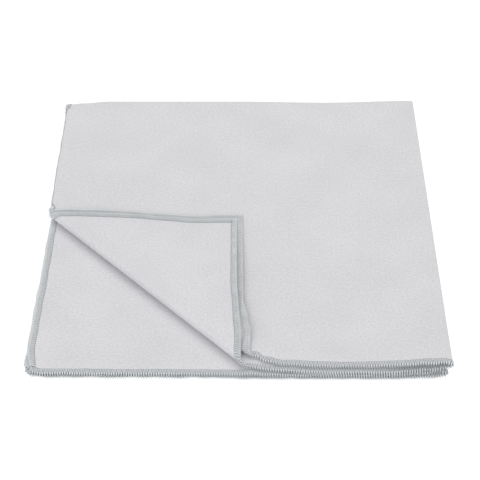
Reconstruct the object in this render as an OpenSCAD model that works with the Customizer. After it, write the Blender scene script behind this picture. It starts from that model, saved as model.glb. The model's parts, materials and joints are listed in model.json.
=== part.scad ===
// Quick dry towel, folded in quarters, with the front left corner of its two upper
// layers turned back over the top. Two folds at the right and two nested folds at
// the back join the four cloth layers, and an overlock hem of three threads runs
// along every cut edge. Millimetres; +X is to the right, +Y to the back, +Z up, and
// the origin is the middle of the underside. Levels count the layers from the
// bottom: 0 and 1 are the lower pair, 2 and 3 the upper pair, and 4 and 5 the
// turned-back corner of layers 3 and 2.

/* [Folded size] */
// Width over everything, from the left hem to the upper pair's right fold
overall_w = 402; // [400:1:410]
// Depth over everything, from the front hem to the back fold
overall_d = 405; // [404:1:412]

/* [Cloth] */
// Thickness of one layer of cloth
cloth_t = 1; // [0.6:0.1:1.4]
// Height from the middle of one layer to the middle of the next
layer_pitch = 3; // [2.8:0.1:4]

/* [Overlock hem] */
// Thickness over both loopers
hem_t = 2.2; // [2:0.1:2.6]
// Width that the loopers cover, inwards from the cut edge
looper_w = 5; // [4:0.1:7]
// How far the purl of crossing loops stands out beyond the cut edge
purl_w = 0.8; // [0.4:0.1:1.2]
// Width of the row of needle stitches
needle_w = 0.7; // [0.4:0.1:1]
// How far a needle stitch stands up from the cloth
needle_t = 0.4; // [0.2:0.1:0.5]
// Space between the loopers and the needle stitches
needle_gap = 0.3; // [0.1:0.1:0.6]

/* [How the edges lie] */
// Left cut edges at the front, or at the crease on the upper pair, layer by layer
left_x = [-200.2, -198.2, -197.4, -197]; // [-205:0.1:-190]
// Front cut edges at their left end, layer by layer
front_y = [-201.7, -199.2, -198, -195.4]; // [-210:0.1:-185]
// Left cut edges at the back fold
left_back_x = -198.6; // [-205:0.1:-190]
// Front cut edges where the lower pair and the upper pair turn round at the right
front_right_y = [-200.4, -192.6]; // [-210:0.1:-185]
// How much further left the lower pair's right fold ends at the front than at the back
lower_slant = 5; // [0:0.5:8]

/* [Turned-back corner] */
// X plus Y along the crease, at the middle of the roll of cloth
crease_sum = -183.6; // [-200:0.1:-170]
// Tip of the turned corner's under layer, as X and Y
under_tip = [3.4, 3.4]; // [-20:0.1:20]
// Tip of the turned corner's upper layer, as X and Y
upper_tip = [-2.5, -4.4]; // [-20:0.1:20]

/* [Running room] */
// Space left between the two halves of a fold
fold_gap = 0.3; // [0.2:0.05:0.6]

/* [Hidden] */
$fn = 48;

half_cloth = cloth_t / 2;
half_hem = hem_t / 2;
function layer_z(level) = half_hem + level * layer_pitch;

// Radii of the rolls, to the middle of the cloth
inner_r = layer_pitch / 2;
outer_r = 3 * layer_pitch / 2;

// The rolls' axes: back, right and crease
back_y = overall_d / 2 - outer_r - half_hem;
back_z = (layer_z(0) + layer_z(3)) / 2;
right_back_x = overall_w / 2 - inner_r - half_hem;
right_front_x = [right_back_x - lower_slant, right_back_x];
right_z = [(layer_z(0) + layer_z(1)) / 2, (layer_z(2) + layer_z(3)) / 2];
crease_z = (layer_z(3) + layer_z(4)) / 2;

// A helix at 45 degrees runs pi / 2 along the crease for each unit round a quarter
quarter_run = PI / 2;

// How far a straight run laps the turn that it joins at the right fold
turn_lap = 0.5;
// Gap between a roll and the straight stretch of the same piece that runs into it
roll_gap = 0.1;

// Width of the raised border of the bottom layer, which lies on the ground inside it
border_w = 10;
border_lap = 1;

cloth_colour = [0.85, 0.84, 0.87];
turned_colour = [0.88, 0.87, 0.89];
looper_colour = [0.78, 0.80, 0.80];
needle_colour = [0.56, 0.60, 0.66];

// ---- Plan geometry ----

// Which way the towel's face looks on each level: 1 is up
function face_of(level) = [-1, 1, -1, 1, -1, 1][level];

// A point on the crease's middle line, t along it from its middle
function crease_point(t) = [t / sqrt(2) + crease_sum / 2, crease_sum / 2 - t / sqrt(2)];

// Where the left edge and the front edge of a layer meet the crease, as t
function crease_left(level) = (left_x[level] - crease_sum / 2) * sqrt(2);
function crease_front(level) = (crease_sum / 2 - front_y[level]) * sqrt(2);

// Radius of the roll at the crease: layer 2 goes round layer 3
function crease_r(level) = level == 2 ? outer_r : inner_r;
function turned_level(level) = level == 2 ? 5 : 4;
function turned_tip(level) = level == 2 ? upper_tip : under_tip;

// Ends of the turned corner's side edge and front edge, past the roll
function turned_side(level) = crease_point(crease_left(level) + PI * crease_r(level));
function turned_front(level) = crease_point(crease_front(level) - PI * crease_r(level));

// ---- Threads ----

// A hem thread's section as boxes [inward from, inward to, height from, height to,
// how much shorter at each end], from the cut edge and the middle of the cloth, with
// the towel's face up
needle_y = looper_w + needle_gap;
// The purl's box stops just inside the band of loops that it hangs from
purl_step = 0.05;
function face_up_section(kind) =
    kind == "needle" ? [
        [needle_y, needle_y + needle_w, half_cloth, half_cloth + needle_t, 0],
        [needle_y, needle_y + needle_w, -half_cloth - needle_t, -half_cloth, 0]
    ] :
    kind == "upper_looper" ? [
        [-purl_w, looper_w, half_cloth, half_hem, 0],
        [purl_step - purl_w, 0, 0, half_hem - purl_step, purl_step]
    ] : [
        [-purl_w, looper_w, -half_hem, -half_cloth, 0],
        [purl_step - purl_w, 0, purl_step - half_hem, 0, purl_step]
    ];

function section(kind, face) = [
    for (box = face_up_section(kind))
        face > 0 ? box : [box[0], box[1], -box[3], -box[2], box[4]]
];

// A straight hem from one point to another; the vectors from_in and to_in say how a
// point of it moves at each end for each unit that it lies in from the cut edge
module hem_run(kind, level, from, from_in, to, to_in) {
    along = (to - from) / norm(to - from);
    for (box = section(kind, face_of(level))) {
        start = from + box[4] * along;
        end = to - box[4] * along;
        translate([0, 0, layer_z(level) + box[2]])
            linear_extrude(box[3] - box[2])
                polygon([
                    start + box[0] * from_in,
                    end + box[0] * to_in,
                    end + box[1] * to_in,
                    start + box[1] * from_in
                ]);
    }
}

// Section boxes turned about Z, at a radius from the axis to the cloth's middle
module ring(boxes, radius, angle) {
    rotate_extrude(angle = angle)
        for (box = boxes)
            translate([radius + box[2], box[0]])
                square([box[3] - box[2], box[1] - box[0]]);
}

// ---- Folds ----

function cloth_box(length) = [[0, length, -half_cloth, half_cloth]];

// Keeps what lies below or above a fold's middle height, with half the gap left open
module half_of_fold(half, height) {
    intersection() {
        children();
        translate([-overall_w, -overall_d, half == "lower" ? 0 : height + fold_gap / 2])
            cube([2 * overall_w, 2 * overall_d, height - fold_gap / 2]);
    }
}

// A quarter of a roll at the back, below or above the middle
module back_quarter(half, radius, x, boxes) {
    half_of_fold(half, back_z)
        translate([x, back_y, back_z])
            rotate([90, 0, 90])
                rotate([0, 0, -90])
                    ring(boxes, radius, 180);
}

// A half roll at the right of the lower pair (0) or the upper pair (1)
module right_half(pair, boxes) {
    across = right_front_x[pair] - right_back_x;
    along = back_y - front_right_y[pair];
    translate([right_front_x[pair], front_right_y[pair], right_z[pair]])
        rotate([-90, 0, atan2(across, along)])
            rotate([0, 0, -90])
                ring(boxes, inner_r, 180);
}

// The right fold's own edge, rolled over at the back
module right_back_corner(half) {
    half_of_fold(half, back_z)
        translate([right_back_x, back_y, back_z])
            rotate([90, 0, 90])
                rotate([0, 0, -90])
                    rotate_extrude(angle = 180)
                        translate([layer_pitch, 0])
                            intersection() {
                                difference() {
                                    circle(inner_r + half_cloth);
                                    circle(inner_r - half_cloth);
                                }
                                translate([-layer_pitch, 0])
                                    square([2 * layer_pitch, layer_pitch]);
                            }
}

// A right fold whole: the half roll, cut square at the back, and its corner there
module right_fold(pair) {
    intersection() {
        right_half(pair, cloth_box(overall_d));
        translate([0, -overall_d, 0])
            cube([overall_w, back_y + overall_d - roll_gap, layer_z(6)]);
    }
    right_back_corner(pair == 0 ? "lower" : "upper");
}

// A quarter of the roll at the crease, between two ends that wind round it as
// helices: t_a and t_b are where they start, turn_a and turn_b which way they wind
module crease_quarter(half, radius, low, high, t_a, turn_a, t_b, turn_b) {
    reach = radius + layer_pitch;
    start = half == "lower" ? 0 : PI * radius;
    wind = half == "lower" ? quarter_run * reach : PI * radius - quarter_run * reach;
    half_of_fold(half, crease_z)
        rotate([0, 0, -45])
            translate([0, crease_sum / sqrt(2), crease_z])
                intersection() {
                    translate([t_a - 2 * reach, 0, 0])
                        rotate([90, 0, 90])
                            rotate([0, 0, 90])
                                ring([[0, t_b - t_a + 4 * reach, low, high]], radius, 180);
                    translate([0, 0, -reach])
                        linear_extrude(2 * reach)
                            polygon([
                                [t_a + turn_a * start, 0],
                                [t_a + turn_a * wind, -reach],
                                [t_b + turn_b * wind, -reach],
                                [t_b + turn_b * start, 0]
                            ]);
                }
}

module crease_cloth(half, level) {
    crease_quarter(half, crease_r(level), -half_cloth, half_cloth,
        crease_left(level), 1, crease_front(level), -1);
}

// A side hem's thread where it goes round the crease; on the outer roll the
// towel's face is outside, and on the inner roll it is inside
module crease_side_hem(half, level, kind) {
    for (box = section(kind, level == 2 ? 1 : -1))
        crease_quarter(half, crease_r(level), box[2], box[3],
            crease_left(level) + box[0] * sqrt(2), 1,
            crease_left(level) + box[1] * sqrt(2), 1);
}

module crease_front_hem(half, level, kind) {
    for (box = section(kind, level == 2 ? 1 : -1))
        crease_quarter(half, crease_r(level), box[2], box[3],
            crease_front(level) - box[1] * sqrt(2), -1,
            crease_front(level) - box[0] * sqrt(2), -1);
}

// ---- Panels ----

module slab(level, outline) {
    translate([0, 0, layer_z(level) - half_cloth])
        linear_extrude(cloth_t)
            polygon(outline);
}

function lower_outline(level, inset = 0) = [
    [left_back_x + inset, back_y - inset],
    [left_x[level] + inset, front_y[level] + inset],
    [right_front_x[0] - inset, front_right_y[0] + inset],
    [right_back_x - inset, back_y - inset]
];

function upper_outline(level) = [
    [left_back_x, back_y],
    [left_x[level], crease_sum - left_x[level]],
    [crease_sum - front_y[level], front_y[level]],
    [right_front_x[1], front_right_y[1]],
    [right_back_x, back_y]
];

// The bottom layer: its middle lies on the ground, its border rises into the hem
module bottom_panel() {
    color(cloth_colour) {
        difference() {
            slab(0, lower_outline(0));
            translate([0, 0, -1])
                linear_extrude(layer_z(2))
                    polygon(lower_outline(0, border_w));
        }
        linear_extrude(cloth_t)
            polygon(lower_outline(0, border_w - border_lap));
    }
}

module second_panel() {
    color(cloth_colour)
        slab(1, lower_outline(1));
}

module third_panel() {
    color(cloth_colour)
        slab(2, upper_outline(2));
}

module top_panel() {
    color(cloth_colour)
        slab(3, upper_outline(3));
}

module turned_panel(level) {
    color(turned_colour)
        slab(turned_level(level), [turned_side(level), turned_front(level), turned_tip(level)]);
}

module turned_under_panel() {
    turned_panel(3);
}

module turned_upper_panel() {
    turned_panel(2);
}

module lower_right_fold() {
    color(cloth_colour)
        right_fold(0);
}

module upper_right_fold() {
    color(cloth_colour)
        right_fold(1);
}

module back_fold(half, radius) {
    color(cloth_colour)
        back_quarter(half, radius, left_back_x, cloth_box(right_back_x - left_back_x));
}

module crease_fold(half, level) {
    color(half == "lower" ? cloth_colour : turned_colour)
        crease_cloth(half, level);
}

// ---- Hems ----

module thread_colour(kind) {
    color(kind == "needle" ? needle_colour : looper_colour)
        children();
}

// A hem keeps clear of the end of the hem that crosses it
hem_end = needle_y + needle_w + needle_gap;

// The point that lies that far short of the end of an edge
function hem_stop(edge_start, edge_end) =
    edge_end + hem_end * (edge_start - edge_end) / norm(edge_start - edge_end);

// The front hem of the lower pair: a run on each layer and the turn at the right
module near_hem(kind) {
    thread_colour(kind) {
        for (level = [0, 1])
            hem_run(kind, level, [left_x[level], front_y[level]], [0, 1],
                [right_front_x[0] + turn_lap, front_right_y[0]], [0, 1]);
        right_half(0, section(kind, 1));
    }
}

// The front hem of the upper pair, from the crease to the turn at the right
module far_hem(kind) {
    thread_colour(kind) {
        for (level = [2, 3]) {
            hem_run(kind, level, crease_point(crease_front(level)) + [roll_gap, 0], [-1, 1],
                [right_front_x[1] + turn_lap, front_right_y[1]], [0, 1]);
            crease_front_hem("lower", level, kind);
        }
        right_half(1, section(kind, 1));
    }
}

// A side hem of the lower pair, and its share of the back fold
module lower_side_hem(kind, level) {
    back = [left_back_x, back_y];
    thread_colour(kind) {
        hem_run(kind, level, back, [1, 0],
            hem_stop(back, [left_x[level], front_y[level]]), [1, 0]);
        back_quarter("lower", level == 0 ? outer_r : inner_r, left_back_x,
            section(kind, level == 0 ? 1 : -1));
    }
}

// A side hem of the upper pair, from its share of the back fold to the crease
module upper_side_hem(kind, level) {
    thread_colour(kind) {
        hem_run(kind, level, [left_back_x, back_y], [1, 0],
            crease_point(crease_left(level)) + [0, roll_gap], [1, -1]);
        back_quarter("upper", level == 3 ? outer_r : inner_r, left_back_x,
            section(kind, level == 3 ? 1 : -1));
        crease_side_hem("lower", level, kind);
    }
}

// The far hem past the crease, up the right edge of the turned corner
module turned_far_hem(kind) {
    thread_colour(kind)
        for (level = [2, 3]) {
            hem_run(kind, turned_level(level), turned_front(level) + [0, roll_gap], [-1, 1],
                turned_tip(level), [-1, 0]);
            crease_front_hem("upper", level, kind);
        }
}

// A side hem past the crease, along the back edge of the turned corner
module turned_side_hem(kind, level) {
    thread_colour(kind) {
        hem_run(kind, turned_level(level),
            hem_stop(turned_side(level), turned_tip(level)), [0, -1],
            turned_side(level) + [roll_gap, 0], [1, -1]);
        crease_side_hem("upper", level, kind);
    }
}

bottom_panel();
second_panel();
third_panel();
top_panel();
turned_under_panel();
turned_upper_panel();
lower_right_fold();
upper_right_fold();
back_fold("lower", outer_r);  // outer_back_fold_lower
back_fold("lower", inner_r);  // inner_back_fold_lower
back_fold("upper", outer_r);  // outer_back_fold_upper
back_fold("upper", inner_r);  // inner_back_fold_upper
crease_fold("lower", 2);  // outer_corner_fold_lower
crease_fold("lower", 3);  // inner_corner_fold_lower
crease_fold("upper", 2);  // outer_corner_fold_upper
crease_fold("upper", 3);  // inner_corner_fold_upper
near_hem("needle");  // near_hem_needle
near_hem("upper_looper");  // near_hem_upper_looper
near_hem("lower_looper");  // near_hem_lower_looper
lower_side_hem("needle", 0);  // outer_side_hem_lower_needle
lower_side_hem("upper_looper", 0);  // outer_side_hem_lower_upper_looper
lower_side_hem("lower_looper", 0);  // outer_side_hem_lower_lower_looper
lower_side_hem("needle", 1);  // inner_side_hem_lower_needle
lower_side_hem("upper_looper", 1);  // inner_side_hem_lower_upper_looper
lower_side_hem("lower_looper", 1);  // inner_side_hem_lower_lower_looper
far_hem("needle");  // far_hem_needle
far_hem("upper_looper");  // far_hem_upper_looper
far_hem("lower_looper");  // far_hem_lower_looper
upper_side_hem("needle", 3);  // outer_side_hem_upper_needle
upper_side_hem("upper_looper", 3);  // outer_side_hem_upper_upper_looper
upper_side_hem("lower_looper", 3);  // outer_side_hem_upper_lower_looper
upper_side_hem("needle", 2);  // inner_side_hem_upper_needle
upper_side_hem("upper_looper", 2);  // inner_side_hem_upper_upper_looper
upper_side_hem("lower_looper", 2);  // inner_side_hem_upper_lower_looper
turned_far_hem("needle");  // turned_far_hem_needle
turned_far_hem("upper_looper");  // turned_far_hem_upper_looper
turned_far_hem("lower_looper");  // turned_far_hem_lower_looper
turned_side_hem("needle", 3);  // turned_outer_hem_needle
turned_side_hem("upper_looper", 3);  // turned_outer_hem_upper_looper
turned_side_hem("lower_looper", 3);  // turned_outer_hem_lower_looper
turned_side_hem("needle", 2);  // turned_inner_hem_needle
turned_side_hem("upper_looper", 2);  // turned_inner_hem_upper_looper
turned_side_hem("lower_looper", 2);  // turned_inner_hem_lower_looper
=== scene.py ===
import json
import math

import bmesh
import bpy
import numpy as np
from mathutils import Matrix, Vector


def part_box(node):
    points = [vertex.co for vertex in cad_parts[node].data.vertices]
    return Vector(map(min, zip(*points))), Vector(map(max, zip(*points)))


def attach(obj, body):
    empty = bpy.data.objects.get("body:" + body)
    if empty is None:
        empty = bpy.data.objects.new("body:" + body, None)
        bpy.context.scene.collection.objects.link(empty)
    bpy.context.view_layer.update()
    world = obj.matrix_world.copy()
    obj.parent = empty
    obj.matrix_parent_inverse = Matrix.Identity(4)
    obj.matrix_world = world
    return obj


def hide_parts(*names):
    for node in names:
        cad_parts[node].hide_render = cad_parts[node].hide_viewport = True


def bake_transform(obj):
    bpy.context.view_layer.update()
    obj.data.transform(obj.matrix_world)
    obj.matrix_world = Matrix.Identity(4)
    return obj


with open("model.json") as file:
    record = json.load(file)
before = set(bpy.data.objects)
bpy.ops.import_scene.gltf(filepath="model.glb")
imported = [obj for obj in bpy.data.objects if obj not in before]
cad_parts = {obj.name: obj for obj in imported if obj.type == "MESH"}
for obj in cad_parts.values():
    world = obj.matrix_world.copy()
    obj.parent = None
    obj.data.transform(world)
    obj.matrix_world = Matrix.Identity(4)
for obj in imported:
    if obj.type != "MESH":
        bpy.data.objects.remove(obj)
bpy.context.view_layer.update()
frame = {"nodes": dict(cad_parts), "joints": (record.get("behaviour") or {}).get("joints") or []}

# The towel is described flat, in millimetres, with P across it from the line of its
# right fold and Q along it from the line of its back fold. P is negative on the sheet
# that lies outside at the folds, Q is negative on the lower pair of layers, and H is
# the height over the middle of the cloth, towards the towel's face. place() folds it.
MM = 0.001
HALF_PI = math.pi / 2


# ---- What the frame says ----

def node_box(node):
    low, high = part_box(node)
    return np.array(low) / MM, np.array(high) / MM


def middle_height(node):
    low, high = node_box(node)
    return (low[2] + high[2]) / 2


joint_places = {joint["name"]: np.array(joint["pos_m"]) / MM for joint in frame["joints"]}

SECOND_Z = middle_height("second_panel")
THIRD_Z = middle_height("third_panel")
TOP_Z = middle_height("top_panel")
PITCH = TOP_Z - THIRD_Z
LAYER_Z = np.array([SECOND_Z - PITCH, SECOND_Z, THIRD_Z, TOP_Z])
CLOTH_T = node_box("top_panel")[1][2] - node_box("top_panel")[0][2]
HALF_HEM = LAYER_Z[0]
HEM_W = 5.0

INNER_R = PITCH / 2
MIDDLE_R = PITCH
OUTER_R = 3 * PITCH / 2
BACK_Z = joint_places["back_fold"][2]
BACK_Y = joint_places["back_fold"][1] - OUTER_R - HALF_HEM
RIGHT_X = node_box("upper_right_fold")[1][0] - INNER_R - CLOTH_T / 2
# How far outside the middle of the cloth the needle thread goes round the fold
NEEDLE_OUT = 0.9
# How far the lower pair's right fold falls back to the left at its front end, where the
# near hem's needle thread tells its place
LOWER_SLANT = RIGHT_X + INNER_R - node_box("near_hem_needle")[1][0] + NEEDLE_OUT
CREASE_Z = joint_places["corner_fold"][2]
ROOT_2 = math.sqrt(2)
CREASE_N = joint_places["corner_fold"][0] * ROOT_2 + OUTER_R + HALF_HEM

LEFT_X = node_box("outer_back_fold_upper")[0][0]
FRONT_Y = -199.0
HALF_W = RIGHT_X - LEFT_X + INNER_R * HALF_PI
HALF_L = BACK_Y - FRONT_Y + MIDDLE_R * HALF_PI


# ---- How the edges lie ----

# Where each layer's left cut edge lies, as (Y, X), as if no corner were turned back
LEFT_EDGES = [
    [(-200, -201.2), (-150, -200.4), (-38, -197.8), (8, -196.5), (30, -192)],
    [(-200, -195.5), (-170, -199), (-38, -196.4), (4, -195.5), (28, -191.5)],
    [(-185, -195), (-154, -193.8), (-113, -196), (-81, -198.2), (-19, -199.4),
     (15, -198), (32, -192.5)],
    [(-178, -196.3), (-147, -194.2), (-105, -196), (-74, -198.7), (-42, -200.6),
     (-10, -201), (20, -198.4), (60, -198.6), (182, -197.4), (194, -199.6)],
]
# Where each layer's front cut edge lies, as (X, Y)
FRONT_EDGES = [
    [(-202, -193), (-190, -200.4), (-172, -202), (-80, -202), (-20, -202.4), (20, -203.8),
     (150, -204), (195, -202)],
    [(-200, -197), (-185, -200.4), (-100, -201), (0, -201.4), (60, -202.4), (140, -202.6),
     (175, -200), (195, -197)],
    [(-103, -191.6), (-50, -194), (-31, -195.6), (-5, -195.2), (8, -195.2), (31, -198.4),
     (60, -201), (85, -202.2), (145, -201.8), (169, -199), (198, -195.5)],
    [(-25, -191), (6, -184.5), (17, -184.5), (25, -190.4), (43, -194.6), (85, -197),
     (150, -197), (180, -196.4), (200, -195)],
]
# How far the back fold lies in front of a straight line, as (X, Y)
BACK_DIPS = [(-198, -7), (-180, -4.6), (-150, -1.4), (0, -1.4), (100, -3.3), (198, 0)]
# How far the inner crease stays behind the outer one, and how deep the inner roll's
# loose loop is, along the crease
INNER_LAG = [(84, 0), (106, 4.4), (121, 7.4), (131, 10.7), (141, 12.1)]
INNER_DEPTH = [(84, INNER_R), (106, 2.8), (121, 3.8), (131, 3.6), (141, 3)]
# How far the turned layers come down from the crease to their tip
TURNED_DROP = [[(10, 0), (130, 4.0)], [(10, 0), (130, 5.4)]]

# The back fold's roll is a sheet of its own, which reaches this far to each side
BACK_STRIP = 7.0
# The turned corner's right side stands off the towel a little, its upper layer more: how
# much on each level, how far in from the hem this is felt, and how soon past the crease
STAND = np.array([0, 0, 0, 0, 2.6, 4.2])
STAND_REACH = 70
STAND_START = 14
# How far inwards the lie of an edge is felt
EDGE_REACH = 120
# How far to each side of a fold the two layers' edges run into each other
FOLD_REACH = 14


def ease(t):
    t = np.clip(t, 0, 1)
    return t * t * (3 - 2 * t)


def through(points, s):
    """A smooth curve through (place, value) points, level before and after them."""
    places, values = (np.array(column, float) for column in zip(*points))
    slot = np.clip(np.searchsorted(places, s) - 1, 0, len(places) - 2)
    t = (s - places[slot]) / (places[slot + 1] - places[slot])
    return values[slot] + ease(t) * (values[slot + 1] - values[slot])


def between(low, high, t):
    return low + (high - low) * t


def edge_lie(tables, s, outer_share, upper_share):
    """Where an edge lies, from its four layers' tables."""
    lower = between(through(tables[1], s), through(tables[0], s), outer_share)
    upper = between(through(tables[2], s), through(tables[3], s), outer_share)
    return between(lower, upper, upper_share)


# ---- Waves in the cloth ----

rng = np.random.default_rng(7)


def wave_set(count, shortest, longest):
    """Random plane waves: directions, wave numbers and phases."""
    angle = rng.uniform(0, math.pi, count)
    number = 2 * math.pi / rng.uniform(shortest, longest, count)
    phase = rng.uniform(0, 2 * math.pi, count)
    return angle, number, phase


def waves(wave, x, y):
    angle, number, phase = wave
    total = np.zeros_like(x)
    for a, k, f in zip(angle, number, phase):
        total += np.sin(k * (x * math.cos(a) + y * math.sin(a)) + f)
    return total / math.sqrt(len(angle))


LONG_WAVES = wave_set(9, 70, 160)
SHORT_WAVES = wave_set(9, 24, 46)
HEM_WAVES = wave_set(6, 14, 34)

# Height of the long and short waves on each layer, the turned ones last
LONG_HEIGHT = np.array([0.0, 0.3, 0.1, 0.35, 0.1, 0.3])
SHORT_HEIGHT = np.array([0.0, 0.2, 0.0, 0.06, 0.0, 0.08])
# How far each layer sinks between its hems and folds
SAG = np.array([0.58, 2.0, 2.6, 2.6, 0.3, 0.8])
SAG_START = 8
SAG_REACH = 26
# The folds keep their full height this far, and lose it over this length
FOLD_FLAT = 16
FOLD_SLOPE = 40
# Stands for how far past the crease a point of the lower pair is
NEVER_PAST = -1e3

# The second layer is propped under the crease's roll: over this reach, by this share
PROP_REACH = 24
PROP_SHARE = 0.75
# The hems waver up and down and to and fro, and this far in from the edge
HEM_RIPPLE = 0.16
HEM_WANDER = 0.35
HEM_WAVER_REACH = 16
# How far along the hem its two wavers are apart, so that they differ
WAVER_SHIFT = 40

# The top layer's left hem, behind the crease, leans down over the stack. It does so from
# this Y on, over this length, and stops over this length before the back fold.
LEAN_Y = 17
LEAN_START = 12
LEAN_STOP = 7
LEAN_ANGLE = math.radians(72)
LEAN_ARC = 5.5
LEAN_W = 11.0
LEAN_RIDGE = 1.2
LEAN_RIDGE_REACH = 14

# The upper pair's right fold opens into a loop at its front end: its height, its reach
# along the fold, where across the cloth it is highest, and its reach to either side
LOOP_LIFT = 4.2
LOOP_LENGTH = 55
LOOP_P = -14
LOOP_OUTER_REACH = 75
LOOP_INNER_REACH = 24


def lay(p, q, h):
    """Folds the towel at the right and the back, and moves its edges to where they lie."""
    turn = np.clip(p / INNER_R, -HALF_PI, HALF_PI)
    x = RIGHT_X + (INNER_R + h) * np.cos(turn)
    x -= np.maximum(np.abs(p) - INNER_R * HALF_PI, 0)
    lift = (INNER_R + h) * np.sin(turn)

    rise = np.clip(q / MIDDLE_R, -HALF_PI, HALF_PI)
    y = BACK_Y + (MIDDLE_R - lift) * np.cos(rise)
    y -= np.maximum(np.abs(q) - MIDDLE_R * HALF_PI, 0)
    z = BACK_Z + (MIDDLE_R - lift) * np.sin(rise)

    outer_share = 1 - ease((p + FOLD_REACH) / (2 * FOLD_REACH))
    upper_share = ease((q + FOLD_REACH) / (2 * FOLD_REACH))
    left = ease(1 - (x - LEFT_X) / EDGE_REACH)
    front = ease(1 - (y - FRONT_Y) / EDGE_REACH)
    back = ease(1 - (BACK_Y - y) / EDGE_REACH)
    slant = (1 - upper_share) * ease((x - LEFT_X) / (RIGHT_X - LEFT_X))
    slant *= (BACK_Y - y) / (BACK_Y - FRONT_Y)

    moved_x = left * (edge_lie(LEFT_EDGES, y, outer_share, upper_share) - LEFT_X)
    moved_x -= slant * LOWER_SLANT
    moved_y = front * (edge_lie(FRONT_EDGES, x, outer_share, upper_share) - FRONT_Y)
    moved_y += back * through(BACK_DIPS, x)
    return x + moved_x, y + moved_y, z


def lean(s, angle):
    """Bends a strip down round an arc, then straight on: how far a point that lies s
    along it comes forward and falls, and its tilt."""
    turned = angle * np.clip(s / LEAN_ARC, 0, 1)
    straight = np.maximum(s - LEAN_ARC, 0)
    forward = LEAN_ARC * np.sin(turned) / angle + straight * np.cos(angle)
    fall = LEAN_ARC * (1 - np.cos(turned)) / angle + straight * np.sin(angle)
    return forward, fall, turned


def flatness(level, n, past, from_cut, from_fold):
    """How freely each layer sinks and waves: least by its hems, its folds and the crease."""
    share = ease((from_cut - SAG_START) / SAG_REACH)
    share = share * ease((from_fold - FOLD_FLAT) / FOLD_SLOPE)
    share = share * ease((np.abs(past) - SAG_START) / SAG_REACH)
    propped = (level == 1) * ease(1 - np.abs(n - CREASE_N + OUTER_R) / PROP_REACH)
    return share * (1 - PROP_SHARE * propped)


def turn_corner(level, n, t, z, crease, past):
    """Turns the upper pair's corner back, on a roll that is an ellipse where the inner
    layer lies loose. Returns the new level, N and Z, and how far beyond the roll it is."""
    roll_r = CREASE_Z - LAYER_Z[level]
    depth = np.where((level == 0) | (level == 3), through(INNER_DEPTH, t), OUTER_R)
    length = math.pi * np.sqrt((roll_r ** 2 + depth ** 2) / 2)
    arc = np.clip(past / length, 0, 1) * math.pi
    own_r = CREASE_Z - z
    beyond = np.maximum(past - length, 0)
    rolled = crease - np.minimum(past, 0) + beyond
    rolled = rolled - (depth + own_r - roll_r) * np.sin(arc)
    n = np.where(level > 1, rolled, n)
    z = np.where(level > 1, CREASE_Z - own_r * np.cos(arc), z)
    level = np.where(past > length / 2, 7 - level, level)
    return level, n, z, beyond


def waver(x, y, z, p, q, from_side, from_end):
    """Makes the hems uneven, up and down and to and fro."""
    share = 1 - ease(np.minimum(from_side, from_end) / HEM_WAVER_REACH)
    z = z + HEM_RIPPLE * share * waves(HEM_WAVES, p, q)
    wander = HEM_WANDER * share * waves(HEM_WAVES, q + WAVER_SHIFT, p)
    x = x + wander * (from_side < from_end)
    y = y + wander * (from_side >= from_end)
    return x, y, z


def lean_hem(x, y, z, q, h, level, from_side):
    """Leans the top layer's left hem down over the stack, behind the crease."""
    leaning = (level == 3) * ease((y - LEAN_Y) / LEAN_START)
    leaning = leaning * ease((q - BACK_STRIP) / LEAN_STOP)
    angle = np.maximum(LEAN_ANGLE * leaning, 1e-6)
    advance, fall, tilt = lean(LEAN_W - from_side, angle)
    rim_pull = LEAN_W - lean(LEAN_W, angle)[0]
    own_h = np.where(leaning > 0, h, 0)
    x = x + np.maximum(LEAN_W - from_side, 0) - advance - own_h * np.sin(tilt)
    x = x - rim_pull * ease(1 - (from_side - LEAN_W) / EDGE_REACH)
    z = z - fall - own_h * (1 - np.cos(tilt))
    ridge = ease(1 - np.abs(from_side - LEAN_W) / LEAN_RIDGE_REACH)
    z = z + LEAN_RIDGE * leaning * ridge
    return x, z


def open_loop(p, upper, from_end):
    """How far the upper pair's right fold is lifted by the loop at its front end."""
    loop = upper * ease(1 - from_end / LOOP_LENGTH)
    loop = loop * ease(1 + (p - LOOP_P) / LOOP_OUTER_REACH)
    loop = loop * ease(1 - (p - LOOP_P) / LOOP_INNER_REACH)
    return LOOP_LIFT * loop


def place(p, q, h):
    """The folded place, in millimetres, of a point of the flat towel."""
    p, q, h = np.broadcast_arrays(*(np.asarray(v, float) for v in (p, q, h)))
    x, y, z = lay(p, q, h)
    outer = p < 0
    upper = q > 0
    level = np.where(upper, np.where(outer, 3, 2), np.where(outer, 0, 1))
    from_side = HALF_W - np.abs(p)
    from_end = HALF_L - np.abs(q)
    from_cut = np.minimum(from_side, from_end)
    from_fold = np.minimum(np.abs(p), np.abs(q))

    # N lies across the crease, T along it; the lower pair counts as never past it
    n = (x + y) / ROOT_2
    t = (x - y) / ROOT_2
    crease = CREASE_N + outer * through(INNER_LAG, t)
    past = np.where(upper, crease - n, NEVER_PAST)
    flat_share = flatness(level, n, past, from_cut, from_fold)
    level, n, z, beyond = turn_corner(level, n, t, z, crease, past)
    x = (n + t) / ROOT_2
    y = (n - t) / ROOT_2

    drop = np.where(level == 4, through(TURNED_DROP[0], beyond),
                    through(TURNED_DROP[1], beyond))
    z = z - drop * (level > 3)
    stand = ease(1 - from_end / STAND_REACH) * ease(from_side / STAND_REACH)
    z = z + STAND[level] * stand * ease(beyond / STAND_START)

    z = z - SAG[level] * flat_share
    z = z + flat_share * LONG_HEIGHT[level] * waves(LONG_WAVES, x, y)
    z = z + flat_share * SHORT_HEIGHT[level] * waves(SHORT_WAVES, x, y)
    x, y, z = waver(x, y, z, p, q, from_side, from_end)
    x, z = lean_hem(x, y, z, q, h, level, from_side)
    z = z + open_loop(p, upper, from_end)
    return np.stack([x, y, z], -1)


# ---- Cloth ----

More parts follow.
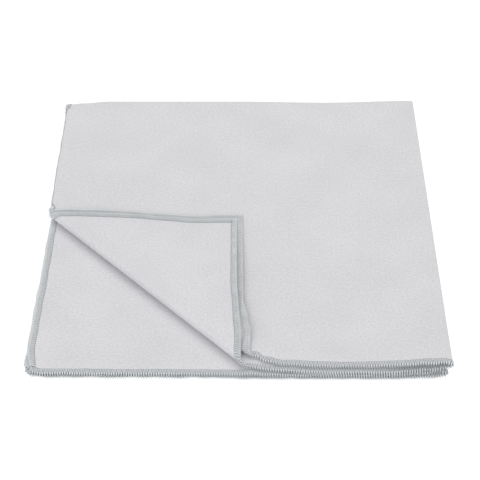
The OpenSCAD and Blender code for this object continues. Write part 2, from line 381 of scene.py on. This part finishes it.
def graded(breaks):
    """Grid lines through stretches (end, step); the first gives only where they start."""
    lines = [breaks[0][0]]
    for end, step in breaks[1:]:
        count = max(1, round((end - lines[-1]) / step))
        lines.extend(np.linspace(lines[-1], end, count + 1)[1:])
    return np.array(lines)


def mirrored(lines):
    return np.concatenate([-lines[:0:-1], lines])


def flat_grid(us, vs, to_flat):
    """A bmesh grid over u and v, laid out flat by to_flat(u, v)."""
    u, v = np.meshgrid(us, vs, indexing="ij")
    a, b = to_flat(u.ravel(), v.ravel())
    bm = bmesh.new()
    points = [bm.verts.new((x, y, 0)) for x, y in zip(a, b)]
    rows = len(vs)
    for i in range(len(us) - 1):
        for j in range(rows - 1):
            corner = i * rows + j
            loop = (corner, corner + rows, corner + rows + 1, corner + 1)
            bm.faces.new([points[k] for k in loop])
    return bm


def cut(bm, point, outward):
    """Cuts a flat sheet along a line and drops what lies on its outward side."""
    everything = bm.verts[:] + bm.edges[:] + bm.faces[:]
    bmesh.ops.bisect_plane(
        bm, geom=everything, dist=1e-4, plane_co=(*point, 0), plane_no=(*outward, 0),
        clear_outer=True)


def sheet_arrays(bm):
    """A flat bmesh as its points, its faces and its rim edges in face order."""
    bm.verts.index_update()
    points = np.array([v.co[:2] for v in bm.verts])
    faces = [[v.index for v in f.verts] for f in bm.faces]
    rim = [(e.link_loops[0].vert.index, e.link_loops[0].link_loop_next.vert.index)
           for e in bm.edges if e.is_boundary]
    bm.free()
    return points, faces, rim


def cloth_piece(name, sheets, material):
    """One closed piece of cloth from flat sheets, its two sides joined at the rim."""
    points, heights, faces, start = [], [], [], 0
    for flat, quads, rim in sheets:
        count = len(flat)
        points += [flat, flat]
        heights += [np.full(count, CLOTH_T / 2), np.full(count, -CLOTH_T / 2)]
        faces += [[k + start for k in f] for f in quads]
        faces += [[k + start + count for k in reversed(f)] for f in quads]
        faces += [[b + start, a + start, a + start + count, b + start + count]
                  for a, b in rim]
        start += 2 * count
    flat = np.concatenate(points)
    folded = place(flat[:, 0], flat[:, 1], np.concatenate(heights)) * MM
    mesh = bpy.data.meshes.new(name)
    mesh.from_pydata(folded.tolist(), [], faces)
    layer = mesh.uv_layers.new(name="flat")
    corners = np.zeros(len(mesh.loops), np.int32)
    mesh.loops.foreach_get("vertex_index", corners)
    layer.data.foreach_set("uv", (flat[corners] * MM).ravel())
    mesh.polygons.foreach_set("use_smooth", [True] * len(mesh.polygons))
    mesh.set_sharp_from_angle(angle=math.radians(50))
    mesh.materials.append(material)
    piece = bpy.data.objects.new(name, mesh)
    bpy.context.scene.collection.objects.link(piece)
    return piece


# The crease's roll is a sheet of its own: how far it reaches before the crease and past it
ROLL_LAP = 8.0
ROLL_REACH = 20.0
# P + Q along the lines where the crease's roll begins and ends
ROLL_SUM = (RIGHT_X + BACK_Y + (INNER_R + MIDDLE_R) * HALF_PI
            - (CREASE_N + ROLL_LAP) * ROOT_2)
FLAP_SUM = ROLL_SUM + (ROLL_LAP + ROLL_REACH) * ROOT_2
ROLL_LEG = HALF_W + HALF_L - ROLL_SUM
FLAP_LEG = HALF_W + HALF_L - FLAP_SUM

# The cut edge lies back a little inside the threads that wrap it
CUT_BACK = 1.0
CUT_W = HALF_W - CUT_BACK
CUT_L = HALF_L - CUT_BACK
# Grid steps: on the open cloth, in the band along its cut edges, along the turned corner,
# across it, and round a roll
OPEN_STEP = 4.4
EDGE_STEP = 1.2
CORNER_STEP = 3.4
DEPTH_STEP = 3.6
ROLL_STEP = 0.5
# How far from the folds the band along the cut edges starts
BAND_START = 376
ACROSS = mirrored(graded([(0, 1), (3.6, 0.4), (14, 2), (BAND_START, OPEN_STEP),
                          (CUT_W, EDGE_STEP)]))


def lower_sheet():
    along = graded([(-CUT_L, 1), (-BAND_START, EDGE_STEP), (-BACK_STRIP, OPEN_STEP)])
    return sheet_arrays(flat_grid(ACROSS, along, lambda u, v: (u, v)))


def upper_sheet():
    along = graded([(BACK_STRIP, 1), (BAND_START, OPEN_STEP), (CUT_L, EDGE_STEP)])
    bm = flat_grid(ACROSS, along, lambda u, v: (u, v))
    for side in (-1, 1):
        cut(bm, (side * ROLL_SUM / 2, ROLL_SUM / 2), (side, 1))
    return sheet_arrays(bm)


def back_sheet():
    along = mirrored(graded([(0, 1), (BACK_STRIP, ROLL_STEP)]))
    return sheet_arrays(flat_grid(ACROSS, along, lambda u, v: (u, v)))


def corner_sheet(side, line_sum, depths):
    """A strip of one upper corner, past a line of constant P + Q, at these depths."""
    leg = HALF_W + HALF_L - line_sum
    along = mirrored(graded([(0, 1), (leg / ROOT_2, CORNER_STEP)]))
    centre = (side * (line_sum + HALF_W - HALF_L) / 2, (line_sum + HALF_L - HALF_W) / 2)

    def to_flat(d, a):
        return centre[0] + (side * d + a) / ROOT_2, centre[1] + (d - side * a) / ROOT_2

    bm = flat_grid(depths, along, to_flat)
    cut(bm, (side * CUT_W, 0), (side, 0))
    cut(bm, (0, CUT_L), (0, 1))
    if side > 0:
        bmesh.ops.reverse_faces(bm, faces=bm.faces[:])
    return sheet_arrays(bm)


# ---- Overlock threads ----

STITCH = 2.4
LOOPER_R = 0.34
NEEDLE_R = 0.24
# How far in from the cut edge the needle's seam runs
NEEDLE_W = HEM_W + 0.65
# How uneven the stitches are, on the cloth and in height
LOOSE = 0.06
LOOSE_H = 0.02

# One stitch of each thread, as (share of the stitch along, inwards, height)
LOOPER_PATH = [
    (0.00, -0.56, 0.10), (0.05, -0.45, 0.62), (0.12, 0.25, 0.90), (0.24, 2.0, 0.92),
    (0.42, 4.3, 0.88), (0.55, 5.05, 0.80), (0.70, 4.9, 0.76), (0.76, 4.0, 0.80),
    (0.84, 2.0, 0.84), (0.90, 0.25, 0.84), (0.96, -0.45, 0.60),
]
NEEDLE_PATH = [
    (0.00, NEEDLE_W, -0.62), (0.09, NEEDLE_W, 0.0), (0.17, NEEDLE_W, 0.60),
    (0.50, NEEDLE_W, 0.72), (0.83, NEEDLE_W, 0.60), (0.91, NEEDLE_W, 0.0),
]
THREADS = {
    "upper_looper": (LOOPER_PATH, LOOPER_R),
    "lower_looper": ([(a + 0.08, w, -h) for a, w, h in LOOPER_PATH], LOOPER_R),
    "needle": (NEEDLE_PATH, NEEDLE_R),
}

# Each hem: its length, and the flat place of (along the edge, inwards)
HEMS = {
    "near_hem": (2 * HALF_W, lambda a, w: (a - HALF_W, w - HALF_L)),
    "far_hem": (2 * HALF_W, lambda a, w: (a - HALF_W, HALF_L - w)),
    "outer_side_hem": (2 * HALF_L, lambda a, w: (w - HALF_W, a - HALF_L)),
    "inner_side_hem": (2 * HALF_L, lambda a, w: (HALF_W - w, a - HALF_L)),
}
# Side hems stop where they meet the hem that crosses them
SIDE_HEM_END = 5.5
HEM_END = 0.4


def zone_of(p, q):
    if abs(p) + q > FLAP_SUM:
        return "turned"
    if abs(p) + q > ROLL_SUM:
        return "crease"
    if abs(q) < BACK_STRIP:
        return "back"
    return "upper" if q > 0 else "lower"


def hem_runs(hem, kind):
    """The folded middle line of a hem's thread, cut up by zone."""
    length, to_flat = HEMS[hem]
    path = np.array(THREADS[kind][0])
    end = SIDE_HEM_END if "side" in hem else HEM_END
    count = int((length - 2 * end) / STITCH)
    starts = (length - count * STITCH) / 2 + STITCH * np.arange(count)
    along = (starts[:, None] + STITCH * path[None, :, 0]).ravel()
    jitter = rng.normal(0, 1, (3, len(along)))
    p, q = to_flat(along + LOOSE * jitter[0],
                   np.tile(path[:, 1], count) + LOOSE * jitter[1])
    points = place(p, q, np.tile(path[:, 2], count) + LOOSE_H * jitter[2])

    zones = [zone_of(*to_flat(start, 0)) for start in starts]
    runs = []
    first = 0
    for k in range(1, count + 1):
        if k == count or zones[k] != zones[first]:
            runs.append((zones[first], points[first * len(path):k * len(path) + 1]))
            first = k
    return runs


def thread_piece(name, kind, runs, material):
    curve = bpy.data.curves.new(name, "CURVE")
    curve.dimensions = "3D"
    curve.bevel_depth = THREADS[kind][1] * MM
    curve.bevel_resolution = 1
    curve.use_fill_caps = True
    for points in runs:
        spline = curve.splines.new("POLY")
        spline.points.add(len(points) - 1)
        homogeneous = np.concatenate([points * MM, np.ones((len(points), 1))], 1)
        spline.points.foreach_set("co", homogeneous.ravel())
    maker = bpy.data.objects.new(name, curve)
    mesh = bpy.data.meshes.new_from_object(maker)
    bpy.data.objects.remove(maker)
    bpy.data.curves.remove(curve)
    mesh.name = name
    mesh.polygons.foreach_set("use_smooth", [True] * len(mesh.polygons))
    mesh.materials.clear()
    mesh.materials.append(material)
    piece = bpy.data.objects.new(name, mesh)
    bpy.context.scene.collection.objects.link(piece)
    return piece


# ---- Materials ----

NAP_DARK = (0.60, 0.595, 0.62, 1)
NAP_LIGHT = (0.76, 0.755, 0.775, 1)
# Painted shade: the colour that darkens the cloth under the hems, standing in for the shadow
# between the threads
PAINTED_HEM_SHADE = (0.34, 0.36, 0.375, 1)
# Sockets of a Mix node: its factor, its two numbers, its two colours, the mixed colour
MIX_FACTOR, MIX_A, MIX_B, MIX_COLOUR_A, MIX_COLOUR_B, MIXED_COLOUR = 0, 2, 3, 6, 7, 2


def new_material(name, colour, roughness):
    material = bpy.data.materials.new(name)
    material.use_nodes = True
    shader = material.node_tree.nodes["Principled BSDF"]
    shader.inputs["Base Color"].default_value = (*colour, 1)
    shader.inputs["Roughness"].default_value = roughness
    return material, material.node_tree, shader


def add_node(tree, kind, inputs=None, **settings):
    node = tree.nodes.new(kind)
    for key, value in settings.items():
        setattr(node, key, value)
    for key, value in (inputs or {}).items():
        if isinstance(value, bpy.types.NodeSocket):
            tree.links.new(value, node.inputs[key])
        else:
            node.inputs[key].default_value = value
    return node


def cloth_material():
    """Brushed microfibre: a soft nap that lies in faint patches, with painted shade under the
    hems.
    """
    material, tree, shader = new_material("microfibre", (0.66, 0.655, 0.675), 0.95)
    flat = add_node(tree, "ShaderNodeUVMap", uv_map="flat").outputs["UV"]
    patches = add_node(tree, "ShaderNodeTexNoise",
                       {"Vector": flat, "Scale": 16.0, "Detail": 3.0})
    nap = add_node(tree, "ShaderNodeTexNoise",
                   {"Vector": flat, "Scale": 420.0, "Detail": 4.0, "Roughness": 0.65})
    tone = add_node(tree, "ShaderNodeMix", {
        MIX_FACTOR: 0.76, MIX_A: patches.outputs["Fac"], MIX_B: nap.outputs["Fac"]})
    nap_tones = add_node(tree, "ShaderNodeValToRGB", {"Fac": tone.outputs[0]})
    nap_tones.color_ramp.elements[0].position = 0.32
    nap_tones.color_ramp.elements[0].color = NAP_DARK
    nap_tones.color_ramp.elements[1].position = 0.68
    nap_tones.color_ramp.elements[1].color = NAP_LIGHT

    # Painted shade between the threads: the cloth under the hems is darkened to stand in for the
    # shadow of the loops
    axes = add_node(tree, "ShaderNodeSeparateXYZ", {0: flat})
    painted_shade_sides = []
    for axis, half in (("X", HALF_W), ("Y", HALF_L)):
        side = add_node(tree, "ShaderNodeMath", {0: axes.outputs[axis]}, operation="ABSOLUTE")
        painted_shade_sides.append(add_node(
            tree, "ShaderNodeMath", {0: side.outputs[0], 1: (half - HEM_W) * MM},
            operation="GREATER_THAN"))
    painted_shade_mask = add_node(tree, "ShaderNodeMath",
                      {0: painted_shade_sides[0].outputs[0], 1: painted_shade_sides[1].outputs[0]}, operation="MAXIMUM")
    colour = add_node(tree, "ShaderNodeMix", {
        MIX_FACTOR: painted_shade_mask.outputs[0], MIX_COLOUR_A: nap_tones.outputs["Color"],
        MIX_COLOUR_B: PAINTED_HEM_SHADE}, data_type="RGBA")
    tree.links.new(colour.outputs[MIXED_COLOUR], shader.inputs["Base Color"])

    bump = add_node(tree, "ShaderNodeBump",
                    {"Height": nap.outputs["Fac"], "Strength": 0.35, "Distance": 0.0004})
    tree.links.new(bump.outputs["Normal"], shader.inputs["Normal"])
    shader.inputs["Sheen Weight"].default_value = 0.25
    shader.inputs["Sheen Roughness"].default_value = 0.5
    shader.inputs["Specular IOR Level"].default_value = 0.15
    return material


def thread_material(name, colour, dark):
    """Spun thread: fine plies and a little unevenness in its dye."""
    material, tree, shader = new_material(name, colour, 0.8)
    where = add_node(tree, "ShaderNodeTexCoord").outputs["Object"]
    dye = add_node(tree, "ShaderNodeTexNoise",
                   {"Vector": where, "Scale": 1400.0, "Detail": 2.0})
    ramp = add_node(tree, "ShaderNodeValToRGB", {"Fac": dye.outputs["Fac"]})
    ramp.color_ramp.elements[0].position = 0.3
    ramp.color_ramp.elements[0].color = (*(c * dark for c in colour), 1)
    ramp.color_ramp.elements[1].position = 0.7
    ramp.color_ramp.elements[1].color = (*colour, 1)
    tree.links.new(ramp.outputs["Color"], shader.inputs["Base Color"])
    bump = add_node(tree, "ShaderNodeBump",
                    {"Height": dye.outputs["Fac"], "Strength": 0.4, "Distance": 0.0001})
    tree.links.new(bump.outputs["Normal"], shader.inputs["Normal"])
    shader.inputs["Sheen Weight"].default_value = 0.2
    shader.inputs["Specular IOR Level"].default_value = 0.25
    return material


microfibre = cloth_material()
thread_materials = {
    "looper_thread": thread_material("looper_thread", (0.83, 0.85, 0.862), 0.85),
    # The needle thread's dark grey is painted shade: it stands in for the shadow in the groove
    # where the thread presses into the cloth
    "needle_thread": thread_material("needle_thread", (0.28, 0.31, 0.35), 0.8),
}


# ---- The pieces ----


def bend(piece, zone):
    """Makes a piece go with the body of its zone; a piece of the back fold or the crease is only
    fixed where it lies.
    """
    if zone == "back":
        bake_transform(piece)
    elif zone == "crease":
        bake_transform(piece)
    else:
        body = {"lower": "lower_half", "upper": "upper_half", "turned": "turned_corner"}
        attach(piece, body[zone])


THREAD_PIECE = {
    ("near_hem", "lower"): "near_hem",
    ("far_hem", "upper"): "far_hem",
    ("far_hem", "crease"): "crease_turns",
    ("far_hem", "turned"): "turned_far_hem",
    ("outer_side_hem", "lower"): "outer_side_hem_lower",
    ("outer_side_hem", "back"): "back_turns",
    ("outer_side_hem", "upper"): "outer_side_hem_upper",
    ("outer_side_hem", "crease"): "crease_turns",
    ("outer_side_hem", "turned"): "turned_outer_hem",
    ("inner_side_hem", "lower"): "inner_side_hem_lower",
    ("inner_side_hem", "back"): "back_turns",
    ("inner_side_hem", "upper"): "inner_side_hem_upper",
    ("inner_side_hem", "crease"): "crease_turns",
    ("inner_side_hem", "turned"): "turned_inner_hem",
}

threads_in = {zone: [] for zone in ("lower", "back", "upper", "crease", "turned")}
for kind in THREADS:
    slot = "needle_thread" if kind == "needle" else "looper_thread"
    gathered = {}
    for hem in HEMS:
        for zone, points in hem_runs(hem, kind):
            gathered.setdefault((THREAD_PIECE[hem, zone], zone), []).append(points)
    for (title, zone), runs in gathered.items():
        piece = thread_piece(f"{title}_{kind}_thread", kind, runs, thread_materials[slot])
        bend(piece, zone)
        if f"{title}_{kind}" in frame["nodes"]:
            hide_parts(f"{title}_{kind}")
        threads_in[zone].append(piece)

roll_depths = graded([(0, 1), (ROLL_LAP + ROLL_REACH, ROLL_STEP)])
flap_depths = graded([(0, 1), (FLAP_LEG / ROOT_2, DEPTH_STEP)])
WIDTH = 2 * HALF_W
# Each piece of cloth: its zone, its flat sheets, its flat area and the solids it replaces
CLOTHS = {
    "lower_pair_cloth": (
        "lower", [lower_sheet()], (WIDTH, HALF_L - BACK_STRIP), 1,
        ["bottom_panel", "second_panel", "lower_right_fold"]),
    "back_fold_cloth": (
        "back", [back_sheet()], (WIDTH, 2 * BACK_STRIP), 1,
        ["outer_back_fold_lower", "inner_back_fold_lower", "outer_back_fold_upper",
         "inner_back_fold_upper"]),
    "upper_pair_cloth": (
        "upper", [upper_sheet()], (WIDTH, HALF_L - BACK_STRIP),
        1 - ROLL_LEG ** 2 / (WIDTH * (HALF_L - BACK_STRIP)),
        ["third_panel", "top_panel", "upper_right_fold"]),
    "crease_cloth": (
        "crease", [corner_sheet(side, ROLL_SUM, roll_depths) for side in (-1, 1)],
        (ROLL_LEG * ROOT_2, 2 * (ROLL_LAP + ROLL_REACH)),
        (ROLL_LEG ** 2 - FLAP_LEG ** 2) / (ROLL_LEG * ROOT_2 * 2 * (ROLL_LAP + ROLL_REACH)),
        ["outer_corner_fold_lower", "inner_corner_fold_lower", "outer_corner_fold_upper",
         "inner_corner_fold_upper"]),
    "turned_corner_cloth": (
        "turned", [corner_sheet(side, FLAP_SUM, flap_depths) for side in (-1, 1)],
        (FLAP_LEG, FLAP_LEG), 1, ["turned_under_panel", "turned_upper_panel"]),
}
for name, (zone, sheets, size, share, nodes) in CLOTHS.items():
    piece = cloth_piece(name, sheets, microfibre)
    bend(piece, zone)
    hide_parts(*nodes)


# ---- Floor, light and camera ----

def make_floor():
    bpy.ops.mesh.primitive_plane_add(size=6)
    floor = bpy.context.object
    floor.name = "floor"
    material, tree, shader = new_material("white_floor", (0.4, 0.4, 0.4), 0.9)
    shader.inputs["Emission Color"].default_value = (1, 1, 1, 1)
    shader.inputs["Emission Strength"].default_value = 0.75
    shader.inputs["Specular IOR Level"].default_value = 0
    floor.data.materials.append(material)


def area_light(name, place_at, size, power):
    """A square light that faces the origin."""
    light = bpy.data.lights.new(name, "AREA")
    light.shape = "SQUARE"
    light.size = size
    light.energy = power
    lamp = bpy.data.objects.new(name, light)
    lamp.location = place_at
    lamp.rotation_euler = (-Vector(place_at)).to_track_quat("-Z", "Y").to_euler()
    bpy.context.scene.collection.objects.link(lamp)


def make_world():
    world = bpy.data.worlds.new("studio")
    world.use_nodes = True
    background = world.node_tree.nodes["Background"]
    background.inputs["Color"].default_value = (1, 1, 1, 1)
    background.inputs["Strength"].default_value = 0.645
    bpy.context.scene.world = world


def make_camera():
    data = bpy.data.cameras.new("camera")
    data.lens = 95.6
    data.sensor_width = 36
    camera = bpy.data.objects.new("camera", data)
    camera.location = (0.0015, -0.9569, 0.9290)
    camera.rotation_euler = (math.radians(45.29), 0, 0)
    bpy.context.scene.collection.objects.link(camera)
    bpy.context.scene.camera = camera


make_floor()
make_world()
area_light("key", (0.2, 0.8, 1.8), 1.4, 11)
area_light("fill", (-0.5, -1.7, 1.3), 1.0, 12)
make_camera()
bpy.context.scene.view_settings.view_transform = "Standard"
